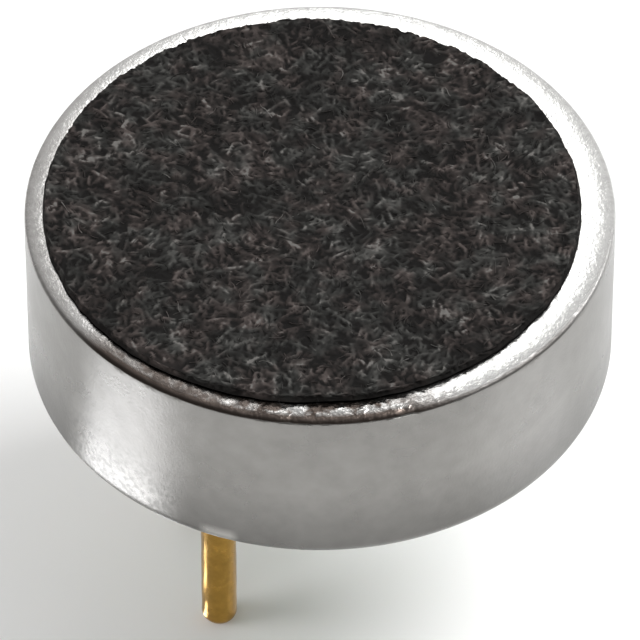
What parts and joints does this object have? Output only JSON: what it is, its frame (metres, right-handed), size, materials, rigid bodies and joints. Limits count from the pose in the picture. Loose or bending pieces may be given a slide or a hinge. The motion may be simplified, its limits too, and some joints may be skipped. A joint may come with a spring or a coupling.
{
  "type": "electret microphone capsule",
  "caption": "Round aluminium microphone capsule with a black dust felt over its sound face, a rolled rear lip and gold solder pins below.",
  "frame": {"origin": "centre of the rolled rear lip, on the plane where the capsule sits on a circuit board", "axes": "+Z along the can's axis towards the felt; the row of pins runs along Y, on the -X side; the pins point along -Z"},
  "size_m": [0.0098, 0.0096, 0.0084],
  "materials": {
    "felt": "black non-woven felt with short loose fibres",
    "adhesive": "thin transfer adhesive",
    "aluminium": "satin drawn aluminium, rough at the front edge",
    "ring_brass": "plain stamped brass",
    "metallised_film": "metallised polyester film",
    "spacer_film": "amber insulating film",
    "electret_film": "milky charged film",
    "holder_plastic": "natural moulded plastic",
    "board": "glass-epoxy board with green solder mask",
    "copper": "gold-flashed copper foil",
    "moulding": "black epoxy moulding",
    "tinned_lead": "matt tin plate",
    "solder": "lead-free solder",
    "ceramic": "unglazed ceramic",
    "gold_plate": "gold-plated brass"
  },
  "bodies": {
    "root": {"dust_felt": "felt", "felt_adhesive": "adhesive", "can": "aluminium", "diaphragm_ring": "ring_brass", "diaphragm": "metallised_film", "spacer": "spacer_film", "electret_film": "electret_film", "back_plate": "ring_brass", "holder": "holder_plastic", "gate_ring": "ring_brass", "circuit_board": "board", "front_copper": "copper", "rear_copper": "copper", "transistor_body": "moulding", "transistor_leads": "tinned_lead", "transistor_solder": "solder", "capacitor_1_body": "ceramic", "capacitor_1_ends": "tinned_lead", "capacitor_2_body": "ceramic", "capacitor_2_ends": "tinned_lead", "capacitor_solder": "solder", "output_pin": "gold_plate", "ground_pin": "gold_plate", "output_pin_solder": "solder", "ground_pin_solder": "solder"}
  },
  "joints": []
}
